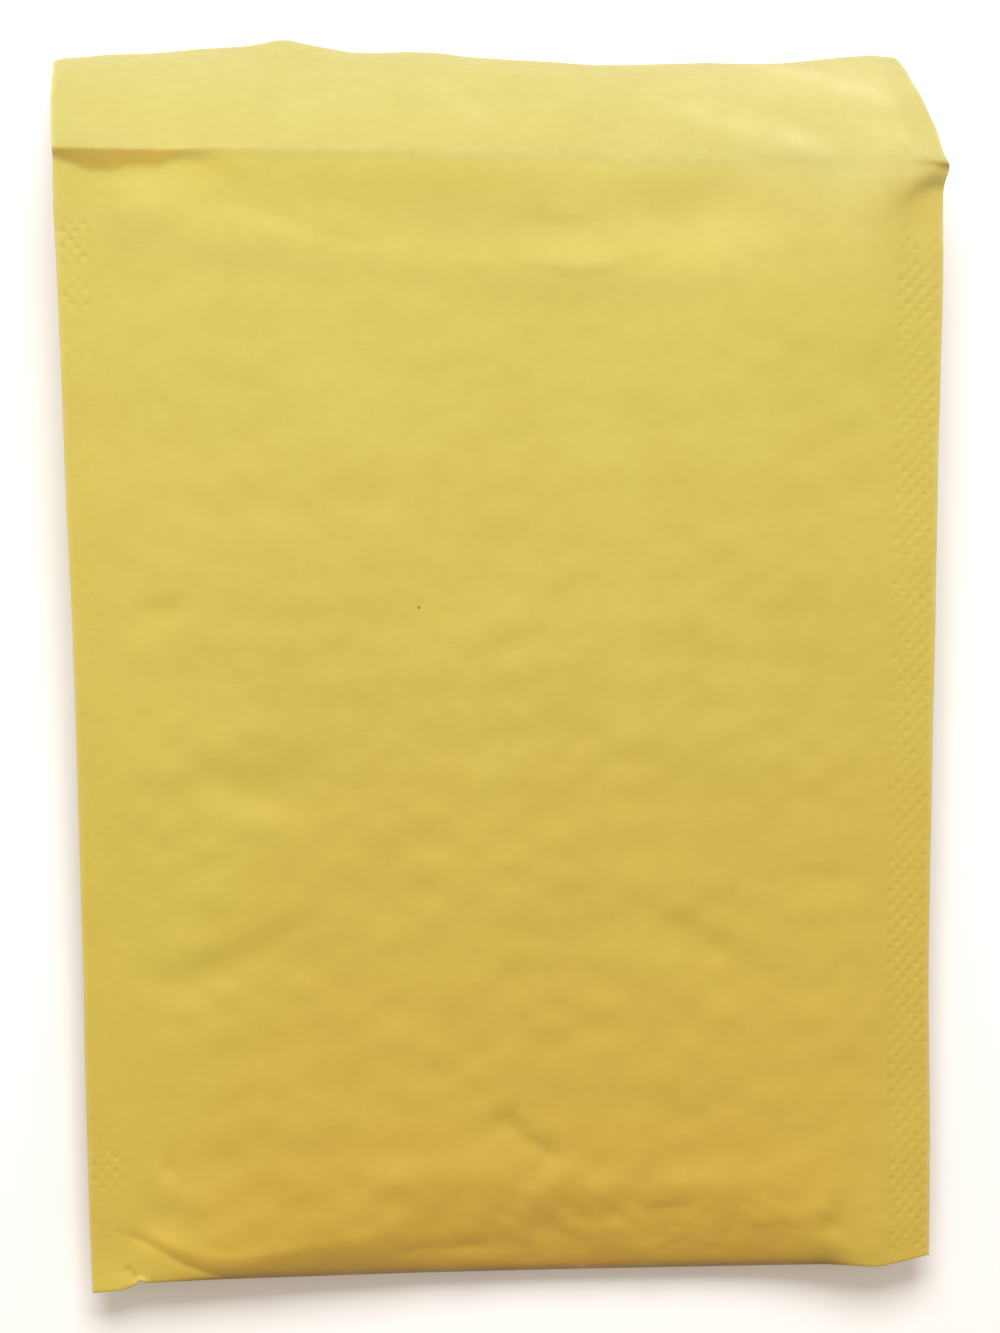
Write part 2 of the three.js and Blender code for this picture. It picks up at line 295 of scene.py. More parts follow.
def front(u, v):
    x, y = place(u, v)
    z = plain_front(u, v)
    inside = smooth(77.5, 71, np.abs(u))
    z = z + front_relief(x, y) * inside * smooth(0, 16, v) * smooth(222, 214, v)
    z = z + lower_creases(x, y) * smooth(0.3, 2.4, v) * smooth(83.5, 81, np.abs(u))
    z = z + 0.1 * noise(x, y, 17, 61) * smooth(72, 80, np.abs(u)) * smooth(2, 12, v)
    # the sharp line of the folded-in corner at the lower left
    k = v - knots(u, NOSE_FROM)
    z = z - 0.22 * np.exp(-np.abs(k) / np.where(k > 0, 0.7, 0.45)) * smooth(-79, -75, u) * smooth(-57, -62, u)
    lift = np.clip(1 - (CREASE - v) / knots(u, FACET), 0, 1) ** knots(u, STEEP)
    z = z + (crease_z(u) - z) * lift
    # shallow hollows hanging from the crease
    z = z - dent(x, y, [(-0.6, 212.7), (4.2, 210.6), (9.0, 209.1), (13.8, 208.7), (18.8, 209.5)], 0.38, 2.6, 9.0, 0.4)
    z = z - dent(x, y, [(14.5, 219.0), (18.2, 216.8), (24.6, 213.3), (31.2, 211.8), (39.1, 213.7), (46.9, 217.1), (51.1, 218.7)], 0.8, 6.5, 14.0, 0.4)
    # the tuck where the crease runs out at the right seal
    tip = crease_y(np.array(85.0))
    z = z - pleat(x, y, [(77.0, tip - 1.6), (77.4, tip - 0.8), (78.2, tip + 0.0), (80.5, tip + 0.5), (83.7, tip - 0.1), (86.6, tip - 0.7)], 0.5, 0.5, 0.8, 0.1)
    z = z - 0.9 * spot(x, y, 86.0, tip - 0.9, 1.5, 0.35, -10)
    z = z - hollow(x, y)
    return np.stack([x, y, z], -1)


def back(u, v):
    x, y = place(u, v)
    fold = top(u, 0 * v) - SEAL - knots(u, FALL)
    roll, most = rolled(u, v)
    seal = top(u, v) - 2 * SEAL
    low = seal - belly(u) * (seal - back_middle(v))
    k = np.clip(v / np.maximum(4, 0.7 * knots(u, NOSE)), 0, 1)
    z = fold - roll + (low - fold + most) * (1 - (1 - k) ** 2)
    z = np.minimum(z, plain_front(u, v) - 2 * np.minimum(roll, SEAL))
    inside = smooth(77.5, 71, np.abs(u)) * smooth(0, 14, v)
    z = z + back_relief(x, y) * inside * smooth(20, 75, v) - hollow(x, y)
    return np.stack([x, y, np.maximum(z, 0.0)], -1)


def flap(u, s):
    """The flap: at each place across an arc of its own, from the crease down to the table."""
    y0, z0 = crease_y(u), crease_z(u)
    reach = np.interp(u, *np.array(FREE_EDGE).T) - y0
    most = FLAP / 1.006
    drop = np.minimum(z0 - PAPER * 0.3, np.sqrt(np.maximum(most**2 - reach**2, 1)))
    chord = np.hypot(reach, drop)
    half = np.sqrt(6 * (1 - chord / FLAP)) + 1e-3
    for _ in range(8):
        f = np.sin(half) / half - chord / FLAP
        half = half - f / (np.cos(half) / half - np.sin(half) / half**2)
    middle = np.arctan2(drop, reach)
    half = np.minimum(half, math.pi / 2 - middle)
    r = chord / (2 * np.sin(half))
    a0 = middle - half
    a = a0 + 2 * half * s / FLAP
    y = y0 + r * (np.sin(a) - np.sin(a0))
    z = z0 - r * (np.cos(a0) - np.cos(a))
    x = u + drawn_in(u, y)
    n = 0.22 * noise(x, s, 24, 71) + 0.06 * noise(x, s, 9, 72)
    for line, high, wide in STREAKS:
        n = n - groove(x, y, line, high, wide)
    n = n * smooth(0, 3, s) * smooth(FLAP + 0.5, FLAP - 5, s)
    z = z + n * np.cos(a)
    return np.stack([x, y + n * np.sin(a), np.maximum(z, 0.02)], -1)


STREAKS = [
    ([(50, 242.6), (62, 238.8), (72, 235.2), (81, 231.0)], 0.42, 1.2),
    ([(30, 232.6), (45, 229.2), (56, 225.0), (67, 220.6)], 0.38, 1.7),
    ([(-12, 237), (-2, 227)], 0.12, 1.6),
]

# ---- the sheet's grid -----------------------------------------------------
SEAL_U = np.linspace(INNER, HALF, 22)
U = np.concatenate([-SEAL_U[::-1], np.linspace(-INNER, -51, 36)[1:], np.linspace(-51, INNER, 95)[1:-1], SEAL_U])
ROLL_W = np.array([0.05, 0.18, 0.42, 0.8, 1.3, 1.95])
FRONT_W = np.concatenate([ROLL_W, np.arange(2.6, 16.6, 0.55), np.arange(17.0, 208, 0.99)])
BACK_W = np.concatenate([[0.0], ROLL_W, np.arange(2.6, 206, 3.12), [207.2, 209.6, 211.0, LIP]])
UPPER_W = np.concatenate([np.arange(208.6, 216, 0.95), np.arange(216.2, CREASE - 0.2, 0.62)])
FLAP_S = np.concatenate([np.arange(0, 8, 0.62), np.linspace(8.2, FLAP - 2.6, 28), FLAP - np.array([2.0, 1.4, 0.9, 0.45, 0.15, 0.0])])
W = np.concatenate([-BACK_W[::-1], FRONT_W, UPPER_W, CREASE + FLAP_S])


def grid(u, w):
    """Points of the sheet's outer face for rows w and columns u."""
    uu, ww = np.meshgrid(u, w)
    p = np.zeros(uu.shape + (3,))
    b, f, s = w <= 0, (w > 0) & (w < CREASE), w >= CREASE
    p[b] = back(uu[b], -ww[b])
    p[f] = front(uu[f], ww[f])
    p[s] = flap(uu[s], ww[s] - CREASE)
    # the rounded top left corner of the flap
    d = FLAP - (ww - CREASE)
    k = np.where(ww > CREASE, np.clip(1 - d / 5.5, 0, 1), 0)
    p[..., 0] += 3.6 * (1 - np.sqrt(1 - k * k)) * np.clip((-uu - 60) / 25, 0, 1) ** 1.5
    # the crease is a soft bend, sharper at its ends
    zone = np.where(np.abs(w - CREASE) < 13)[0]
    lo, hi = zone[0], zone[-1]
    keep = p[lo : hi + 1].copy()
    soft = knots(u, [(-85, 0.01), (-62, 0.02), (-50, 0.06), (-25, 0.25), (0, 0.5), (30, 0.8), (70, 1), (76, 0.5), (80, 0.06), (85, 0.02)])
    weight = (np.exp(-(((w[lo : hi + 1] - CREASE) / 9.0) ** 4))[:, None] * soft[None, :])[1:-1, :, None]
    for _ in range(44):
        keep[1:-1] += weight * (0.25 * keep[:-2] + 0.25 * keep[2:] - 0.5 * keep[1:-1])
    p[lo : hi + 1] = keep
    p[..., 1] -= Y0
    return p


def normals(p):
    du = np.gradient(p, axis=1)
    dw = np.gradient(p, axis=0)
    n = np.cross(du, dw)
    return n / np.maximum(np.linalg.norm(n, axis=-1, keepdims=True), 1e-9)


def emboss(u, w):
    """The side seals' pressed pits, in staggered columns: how far they go into the paper, in mm."""
    a, v = np.abs(u), np.abs(w)
    wide, tall = (HALF - INNER) / 7, 2.97
    c = np.round((a - INNER) / wide)
    row = (v - 17.0) / tall - 0.5 * (c % 2)
    r = np.round(row)
    pit = np.exp(-0.5 * (((a - INNER - c * wide) / 0.36) ** 2 + ((row - r) * tall / 0.4) ** 2)) * (c > 0) * (c < 7)
    each = np.random.default_rng(83).uniform(0.45, 1.15, (4, 7, 101))
    each = each[2 * (u > 0) + (w > 0), np.clip(c, 0, 6).astype(int), r.astype(int) % 101]
    strong = np.where(
        u > 0,
        knots(v, [(0, 0.22), (60, 0.24), (90, 0.2), (130, 0.18), (206, 0.18), (212, 0.08)]),
        0.24 * smooth(77.6, 79.6, a) * knots(v, [(0, 0.05), (8, 0.1), (12, 0.45), (17, 0.3), (20, 0.4), (22.3, 1), (27.4, 1), (30, 0.35), (34, 0.5), (39, 0.2), (50, 0.3), (60, 0.1), (80, 0.12), (100, 0.3), (115, 0.1), (135, 0.28), (150, 0.12), (165, 0.3), (181, 0.1), (184.8, 0.5), (188, 0.12), (191.5, 0.2), (193.6, 0.7), (197, 0.8), (199, 0.3), (202.2, 0.9), (207.3, 1), (212, 0.2)]),
    )
    strong = np.where(w < 0, 0.12, strong) * each * (1 + 0.3 * noise(u, w, 9, 81))
    return np.clip(strong, 0, 0.24) * pit * smooth(1, 3.5, v) * smooth(213, 208, v)


def build(name, verts, faces, smooth_angle=50, uv=None):
    m = bpy.data.meshes.new(name)
    m.from_pydata(np.asarray(verts).tolist(), [], faces)
    m.validate()
    m.update()
    if uv is not None:
        layer = m.uv_layers.new(name="sheet")
        at = np.zeros(len(m.loops), np.int32)
        m.loops.foreach_get("vertex_index", at)
        layer.data.foreach_set("uv", np.asarray(uv, np.float32)[at].ravel())
    m.shade_smooth()
    m.set_sharp_from_angle(angle=math.radians(smooth_angle))
    o = bpy.data.objects.new(name, m)
    bpy.context.scene.collection.objects.link(o)
    return o


def lay_under(p, n, keep, cut, gap, most):
    """A coarser face that stays under the face p, moved away from it by no more than most."""
    at = np.ix_(keep, cut)
    under = p[at] - gap * n[at]
    moved = np.zeros(under.shape[:2])

    def place(a, count):
        i = np.clip(np.searchsorted(a, np.arange(count), side="right") - 1, 0, len(a) - 2)
        return i, (np.arange(count) - a[i]) / (a[i + 1] - a[i])

    (r, t), (c, s) = place(keep, p.shape[0]), place(cut, p.shape[1])
    t, s = t[:, None, None], s[None, :, None]
    for _ in range(40):
        a, b, d, e = (under[np.ix_(r + i, c + j)] for i, j in ((0, 0), (1, 0), (0, 1), (1, 1)))
        # both ways in which a quad can be split
        one = a + np.where(t > s, t * (b - a) + s * (e - b), s * (d - a) + t * (e - d))
        two = np.where(t + s < 1, a + t * (b - a) + s * (d - a), e + (1 - t) * (d - e) + (1 - s) * (b - e))
        short = np.maximum(0, 0.09 + np.maximum(((one - p) * n).sum(-1), ((two - p) * n).sum(-1)))
        if short.max() < 2e-3:
            break
        push = np.zeros(under.shape[:2])
        for i in (0, 1):
            for j in (0, 1):
                np.maximum.at(push, (r[:, None] + i + 0 * c[None, :], c[None, :] + j + 0 * r[:, None]), short)
        push = np.minimum(push, most - moved)
        moved = moved + push
        under = under - push[..., None] * n[at]
    under[..., 2] = np.maximum(under[..., 2], 0.0)
    return under


def kraft_sheet():
    p = grid(U, W)
    n = normals(p)
    rows, cols = len(W), len(U)
    nl, nr = 21, cols - 22  # columns of the seals' inner lines
    gaps = np.diff(W)
    finest = np.where(W[1:] > 0, 0.33, 0.8)
    split = np.where((W[:-1] > -208) & (W[1:] < 214) & (gaps > 0.5), np.maximum(1, np.round(gaps / finest)), 1).astype(int)
    first = np.concatenate([[0], np.cumsum(split)])  # fine row of each row
    fine = first[-1] + 1
    at = np.concatenate([i + np.arange(k) / k for i, k in enumerate(split)] + [[rows - 1]])
    lo = np.minimum(at.astype(int), rows - 2)
    t = (at - lo)[:, None, None]
    pf = p[lo] * (1 - t) + p[lo + 1] * t
    nf = n[lo] * (1 - t) + n[lo + 1] * t
    wf = W[lo] * (1 - t[:, 0, 0]) + W[lo + 1] * t[:, 0, 0]
    uu, ww = np.meshgrid(U, wf)
    pf = pf - nf * emboss(uu, ww)[..., None]
    pf[..., 2] = np.maximum(pf[..., 2], 0.0)
    ids = -np.ones((fine, cols), int)
    sealed = np.zeros(cols, bool)
    sealed[: nl + 1] = sealed[nr:] = True
    ids[:, sealed] = 0
    ids[first, :] = 0
    chosen = ids == 0
    ids[chosen] = np.arange(chosen.sum())
    verts = [pf[chosen]]
    uv = [np.stack([uu[chosen], ww[chosen]], -1)]
    faces = []
    for c in list(range(nl)) + list(range(nr, cols - 1)):
        q = np.stack([ids[:-1, c], ids[:-1, c + 1], ids[1:, c + 1], ids[1:, c]], -1)
        faces += q.tolist()
    for c in range(nl + 1, nr - 1):
        a, b = ids[first[:-1], c], ids[first[1:], c]
        d, e = ids[first[:-1], c + 1], ids[first[1:], c + 1]
        faces += np.stack([a, d, e, b], -1).tolist()
    for k in range(rows - 1):
        i, j = first[k], first[k + 1]
        faces.append(ids[i : j + 1, nl][::-1].tolist() + [ids[i, nl + 1], ids[j, nl + 1]])
        faces.append([ids[j, nr - 1], ids[i, nr - 1]] + ids[i : j + 1, nr].tolist())
    # the inner face, with fewer rows and columns
    cut = np.unique(np.concatenate([[0, 10, nl], np.arange(nl, nr + 1, 3), [nr, nr + 11, cols - 1]]))
    turn = int(np.argmax(W >= 2.6))
    keep = np.unique(np.concatenate([np.arange(0, turn), np.arange(turn, rows, 3), [rows - 1]]))
    inner = lay_under(p, n, keep, cut, (PAPER + 0.13 * smooth(75, 76.5, np.abs(U[cut])) * (W[keep] < 209)[:, None])[..., None], np.where(W[keep] > CREASE + FLAP - 9, 0.16, 2.0)[:, None])
    base = int(chosen.sum())
    iid = base + np.arange(len(keep) * len(cut)).reshape(len(keep), len(cut))
    verts.append(inner.reshape(-1, 3))
    uv.append(np.stack(np.meshgrid(U[cut], W[keep]), -1).reshape(-1, 2))
    faces += np.stack([iid[:-1, :-1], iid[1:, :-1], iid[1:, 1:], iid[:-1, 1:]], -1).reshape(-1, 4).tolist()
    # the cut edges
    for k in range(len(keep) - 1):
        i, j = first[keep[k]], first[keep[k + 1]]
        faces.append([iid[k, 0]] + ids[i : j + 1, 0].tolist() + [iid[k + 1, 0]])
        faces.append([iid[k + 1, -1]] + ids[i : j + 1, -1][::-1].tolist() + [iid[k, -1]])
    for k in range(len(cut) - 1):
        i, j = cut[k], cut[k + 1]
        faces.append([iid[0, k + 1]] + ids[0, i : j + 1][::-1].tolist() + [iid[0, k]])
        faces.append([iid[-1, k]] + ids[-1, i : j + 1].tolist() + [iid[-1, k + 1]])
    faces = [[int(v) for v in f] for f in faces]
    return build("kraft_paper_sleeve", np.concatenate(verts) * 0.001, faces, 55, np.concatenate(uv) * 0.001), p, n


paper, P, N = kraft_sheet()


def on_sheet(u, w):
    """Outer face and normal of the sheet at rows w and columns u, between the grid's own points."""
    def between(a, v, axis):
        i = np.clip(np.searchsorted(a, v) - 1, 0, len(a) - 2)
        t = np.clip((v - a[i]) / (a[i + 1] - a[i]), 0, 1)
        return i, t

    i, t = between(W, w, 0)
    j, s = between(U, u, 1)
    t, s = t[:, None, None], s[None, :, None]

    def mix(g):
        return (
            g[np.ix_(i, j)] * (1 - t) * (1 - s)
            + g[np.ix_(i + 1, j)] * t * (1 - s)
            + g[np.ix_(i, j + 1)] * (1 - t) * s
            + g[np.ix_(i + 1, j + 1)] * t * s
        )

    p, n = mix(P), mix(N)
    return p, n / np.linalg.norm(n, axis=-1, keepdims=True)


def slab(name, top, bottom, uv=None, angle=40):
    """A closed piece between two faces of the same grid."""
    r, c = top.shape[:2]
    a = np.arange(r * c).reshape(r, c)
    b = a + r * c

    def quads(i, j, k, l):
        return np.stack([i, j, k, l], -1).reshape(-1, 4).tolist()

    faces = quads(a[:-1, :-1], a[:-1, 1:], a[1:, 1:], a[1:, :-1])
    faces += quads(b[:-1, :-1], b[1:, :-1], b[1:, 1:], b[:-1, 1:])
    faces += quads(b[:-1, 0], a[:-1, 0], a[1:, 0], b[1:, 0])
    faces += quads(a[:-1, -1], b[:-1, -1], b[1:, -1], a[1:, -1])
    faces += quads(a[0, :-1], b[0, :-1], b[0, 1:], a[0, 1:])
    faces += quads(b[-1, :-1], a[-1, :-1], a[-1, 1:], b[-1, 1:])
    v = np.concatenate([top.reshape(-1, 3), bottom.reshape(-1, 3)]) * 0.001
    return build(name, v, faces, angle, None if uv is None else np.concatenate([uv, uv]) * 0.001)


def strip(name, start, end, half, depth, thick, wave, seed):
    """A strip stuck along the flap's inner face."""
    u = np.linspace(-half, half, 130)
    s = np.linspace(start, end, 26)
    p, n = on_sheet(u, CREASE + s)
    uu, ss = np.meshgrid(u, s)
    edge = (ss - start) / (end - start) * 2 - 1
    p = p.copy()
    along = np.gradient(p, axis=0)
    along /= np.linalg.norm(along, axis=-1, keepdims=True)
    p += along * (edge * wave * noise(uu, 0 * ss + np.sign(edge) * 40, 6, seed))[..., None]
    ripple = wave * 0.25 * noise(uu, ss, 5, seed + 1) ** 2
    top = p - n * (depth)
    bottom = p - n * (depth + thick + ripple[..., None])
    return slab(name, top, bottom, np.stack([uu, ss], -1).reshape(-1, 2))


glue = strip("adhesive_band", 17, 31, 80, PAPER + 0.06, 0.12, 0.35, 91)
liner = strip("release_liner", 14.5, 33.5, 83, PAPER + 0.32, 0.09, 0.05, 95)


def film():
    """The bubble film: domes against the paper, a plain layer towards the pocket."""
    u = np.linspace(-72, 72, 126)
    body = np.concatenate([[0.0], np.arange(1.6, 206.6, 1.12), [207.0]])
    w = np.concatenate([-body[::-1], body[1:]])
    p, n = on_sheet(u, w)
    uu, ww = np.meshgrid(u, w)
    f, _ = on_sheet(u, np.abs(w))
    b, _ = on_sheet(u, -np.abs(w))
    room = (f - b)[..., 2] / 2 - PAPER - 0.12
    gap = (PAPER + 0.1 + 0.25 * np.clip(room / 2, 0, 1))[..., None]
    full = np.clip(room - 0.6, 0.12, 3.3)
    x, y = p[..., 0], p[..., 1] + Y0
    a, c = PITCH * math.sqrt(3) / 2, PITCH
    # nearest of the two interleaved rows of bubble middles
    far = np.full(x.shape, 9.0)
    for ox, oy in ((0, 0), (a, c / 2)):
        dx = (x - ox + a) % (2 * a) - a
        dy = (y - oy + c / 2) % c - c / 2
        far = np.minimum(far, np.hypot(dx, dy))
    dome = np.clip(1 - (far / 4.45) ** 2, 0, 1) ** 0.55
    high = (full - 0.1) * dome
    outer = p - n * (gap + (full - 0.1 - high)[..., None])
    pucker = 0.06 * np.cos(np.clip(far / 4.8, 0, 1) * math.pi)
    inner = p - n * (gap + (full + pucker * np.clip(full / 3, 0, 1))[..., None])
    # pressed flat between the panels at the folded-in corner
    tight = (uu < -60) & (np.abs(ww) > 2.5) & (np.abs(ww) < 16)
    spare = np.minimum(0.34, 0.42 * (f - b)[..., 2])
    for face in (outer, inner):
        face[..., 2] = np.where(tight, np.clip(face[..., 2], b[..., 2] + spare, f[..., 2] - spare), face[..., 2])
    return slab("bubble_film_lining", outer, inner, np.stack([uu, ww], -1).reshape(-1, 2), 70)


lining = film()

# ---------------------------------------------------------------------------
# Materials
# ---------------------------------------------------------------------------


class Nodes:
    def __init__(self, name):
        self.mat = bpy.data.materials.new(name)
        self.mat.use_nodes = True
        self.tree = self.mat.node_tree
        self.shader = self.tree.nodes["Principled BSDF"]

    def add(self, kind, **props):
        n = self.tree.nodes.new(kind)
        for k, v in props.items():
            setattr(n, k, v)
        return n

    def link(self, a, b):
        self.tree.links.new(a, b)

    def noise(self, where, scale, detail=3.0, rough=0.55, distort=0.0):
        n = self.add("ShaderNodeTexNoise")
        n.inputs["Scale"].default_value = scale
        n.inputs["Detail"].default_value = detail
        n.inputs["Roughness"].default_value = rough
        n.inputs["Distortion"].default_value = distort
        self.link(where, n.inputs["Vector"])
        return n.outputs["Fac"]

    def stretch(self, where, scale, turn=0.0):
        n = self.add("ShaderNodeMapping")
        n.inputs["Scale"].default_value = scale
        n.inputs["Rotation"].default_value = (0, 0, turn)
        self.link(where, n.inputs["Vector"])
        return n.outputs["Vector"]

    def ramp(self, fac, stops, kind="LINEAR"):
        n = self.add("ShaderNodeValToRGB")
        n.color_ramp.interpolation = kind
        e = n.color_ramp.elements
        while len(e) < len(stops):
            e.new(0.5)
        for i, (at, colour) in enumerate(stops):
            e[i].position = at
            e[i].color = (*colour, 1) if len(colour) == 3 else colour
        self.link(fac, n.inputs["Fac"])
        return n.outputs["Color"]

    def math(self, op, a, b=None):
        n = self.add("ShaderNodeMath", operation=op)
        for i, v in enumerate((a, b)):
            if v is None:
                continue
            if isinstance(v, (int, float)):
                n.inputs[i].default_value = v
            else:
                self.link(v, n.inputs[i])
        return n.outputs[0]

    def span(self, fac, a, b, lo=0.0, hi=1.0):
        n = self.add("ShaderNodeMapRange")
        n.inputs["From Min"].default_value = lo
        n.inputs["From Max"].default_value = hi
        n.inputs["To Min"].default_value = a
        n.inputs["To Max"].default_value = b
        self.link(fac, n.inputs["Value"])
        return n.outputs["Result"]

    def mix(self, fac, a, b, blend="MIX"):
        n = self.add("ShaderNodeMix", data_type="RGBA", blend_type=blend)
        for socket, v in ((n.inputs[0], fac), (n.inputs[6], a), (n.inputs[7], b)):
            if isinstance(v, (int, float)):
                socket.default_value = v
            elif isinstance(v, tuple):
                socket.default_value = (*v, 1)
            else:
                self.link(v, socket)
        return n.outputs[2]

    def bump(self, height, strength, distance, under=None):
        n = self.add("ShaderNodeBump")
        n.inputs["Strength"].default_value = strength
        n.inputs["Distance"].default_value = distance
        self.link(height, n.inputs["Height"])
        if under is not None:
            self.link(under, n.inputs["Normal"])
        return n.outputs["Normal"]

    def set(self, **values):
        for k, v in values.items():
            socket = self.shader.inputs[k.replace("_", " ")]
            if isinstance(v, (int, float, tuple)):
                socket.default_value = v
            else:
                self.link(v, socket)


def kraft_material():
    m = Nodes("kraft_paper")
    where = m.add("ShaderNodeTexCoord").outputs["UV"]
    solid = m.add("ShaderNodeTexCoord").outputs["Object"]
    cloud = m.noise(solid, 60, 2, 0.6)
    mottle = m.noise(solid, 430, 2, 0.6)
    fibre = m.noise(m.stretch(where, (420, 2500, 1), 0.03), 1.0, 2, 0.6, 0.5)
    # painted light and shade in the paper's colour: paler towards the flap (painted sheen) and a deeper, warmer gold
    # towards the bottom fold (painted shade); just below the crease the colour steps darker but less saturated for the
    # whole flap, painted shade against the flap's stronger light plus painted sheen, placed to hide the crease's
    # highlight
    place = m.add("ShaderNodeSeparateXYZ")
    m.link(where, place.inputs[0])
    far = m.span(m.math("ABSOLUTE", place.outputs[1]), 0.0, 1.0, 0.0, 0.27)
    far = m.math("MAXIMUM", far, m.span(m.math("ABSOLUTE", place.outputs[0]), 0.0, 0.20, 0.05, 0.08))
    colour = m.ramp(far, [(0.0, (0.575, 0.353, 0.045)), (0.10, (0.530, 0.370, 0.051)), (0.324, (0.522, 0.406, 0.066)), (0.694, (0.520, 0.440, 0.092)), (0.812, (0.517, 0.449, 0.106)), (0.8225, (0.424, 0.377, 0.101)), (0.90, (0.438, 0.394, 0.115)), (0.976, (0.434, 0.393, 0.115))])
    colour = m.mix(m.span(cloud, 0, 0.7, 0.35, 0.8), colour, (0.93, 0.90, 0.84), "MULTIPLY")
    colour = m.mix(m.span(mottle, 0, 0.6, 0.4, 0.8), colour, (0.94, 0.93, 0.90), "MULTIPLY")
    colour = m.mix(m.span(fibre, 0, 0.28, 0.5, 0.85), colour, (0.90, 0.87, 0.80), "MULTIPLY")
    # lighter towards the side edges in the lower part of the panels
    side = m.math("MULTIPLY", m.span(m.math("ABSOLUTE", place.outputs[0]), 0.0, 0.22, 0.045, 0.08), m.span(place.outputs[1], 1.0, 0.0, 0.12, 0.215))
    colour = m.mix(side, colour, (0.60, 0.475, 0.085))
    # multiply in the painted light and shade kept in the mesh's colour attribute, deeper in the folds, with two pale
    # tears
    colour = m.mix(1.0, colour, m.add("ShaderNodeAttribute", attribute_name="painted_light_and_tears").outputs["Color"], "MULTIPLY")
    # a few dark flecks of bark
    cells = m.add("ShaderNodeTexVoronoi", feature="F1")
    cells.inputs["Scale"].default_value = 46
    m.link(solid, cells.inputs["Vector"])
    pick = m.add("ShaderNodeSeparateColor")
    m.link(cells.outputs["Color"], pick.inputs["Color"])
    fleck = m.math("MULTIPLY", m.math("LESS_THAN", cells.outputs["Distance"], 0.007), m.math("GREATER_THAN", pick.outputs[0], 0.88))
    # one fleck that stands out
    gap = m.add("ShaderNodeVectorMath", operation="DISTANCE")
    m.link(where, gap.inputs[0])
    gap.inputs[1].default_value = (-0.0181, 0.13576, 0.0)
    mark = m.math("LESS_THAN", gap.outputs["Value"], 0.00028)
    colour = m.mix(m.math("MAXIMUM", m.math("MULTIPLY", fleck, 0.35), m.math("MULTIPLY", mark, 0.75)), colour, (0.14, 0.08, 0.03))
    # rubbed edges (the flap's free edge, the side edges and the lip), and a painted sheen along the flap's streak
    # ridges and a painted highlight at its top left corner
    wear_and_sheen_mask = m.add("ShaderNodeAttribute", attribute_name="wear_and_sheen").outputs["Fac"]
    rub_and_sheen = m.math("MULTIPLY", wear_and_sheen_mask, m.span(mottle, 0.3, 0.6, 0.3, 0.7))
    colour = m.mix(rub_and_sheen, colour, (0.66, 0.60, 0.32))
    rough = m.span(mottle, 0.54, 0.66, 0.3, 0.7)
    high = m.math("ADD", m.math("MULTIPLY", fibre, 0.6), m.math("MULTIPLY", mottle, 0.6))
    normal = m.bump(high, 0.2, 0.00012)
    m.set(Base_Color=colour, Roughness=rough, Normal=normal, IOR=1.5, Specular_IOR_Level=0.32, Sheen_Weight=0.05, Sheen_Roughness=0.4)
    return m.mat


def film_material():
    m = Nodes("bubble_film")
    solid = m.add("ShaderNodeTexCoord").outputs["Object"]
    haze = m.noise(solid, 300, 3, 0.6)
    crinkle = m.noise(solid, 900, 4, 0.6, 0.8)
    colour = m.ramp(haze, [(0.3, (0.80, 0.83, 0.85)), (0.7, (0.92, 0.94, 0.95))])
    rough = m.span(haze, 0.12, 0.3, 0.3, 0.7)
    m.set(Base_Color=colour, Roughness=rough, Normal=m.bump(crinkle, 0.15, 0.0001), IOR=1.5, Alpha=0.5)
    return m.mat


def glue_material():
    m = Nodes("adhesive")
    solid = m.add("ShaderNodeTexCoord").outputs["Object"]
    smear = m.noise(m.stretch(solid, (60, 700, 700)), 1.0, 4, 0.6, 0.5)
    colour = m.ramp(smear, [(0.3, (0.70, 0.60, 0.34)), (0.7, (0.86, 0.80, 0.58))])
    rough = m.span(smear, 0.2, 0.42, 0.3, 0.7)
    m.set(Base_Color=colour, Roughness=rough, Normal=m.bump(smear, 0.4, 0.0002), IOR=1.48)
    return m.mat


def liner_material():
    m = Nodes("release_paper")
    solid = m.add("ShaderNodeTexCoord").outputs["Object"]
    fibre = m.noise(m.stretch(solid, (1500, 400, 400)), 1.0, 3, 0.6)
    cloud = m.noise(solid, 120, 3, 0.6)
    colour = m.ramp(cloud, [(0.3, (0.84, 0.82, 0.76)), (0.7, (0.90, 0.89, 0.85))])
    colour = m.mix(m.span(fibre, 0, 0.2, 0.45, 0.8), colour, (0.74, 0.72, 0.66))
    rough = m.span(cloud, 0.26, 0.4, 0.3, 0.7)
    m.set(Base_Color=colour, Roughness=rough, Normal=m.bump(fibre, 0.15, 0.00008), IOR=1.45, Coat_Weight=0.25, Coat_Roughness=0.3)
    return m.mat


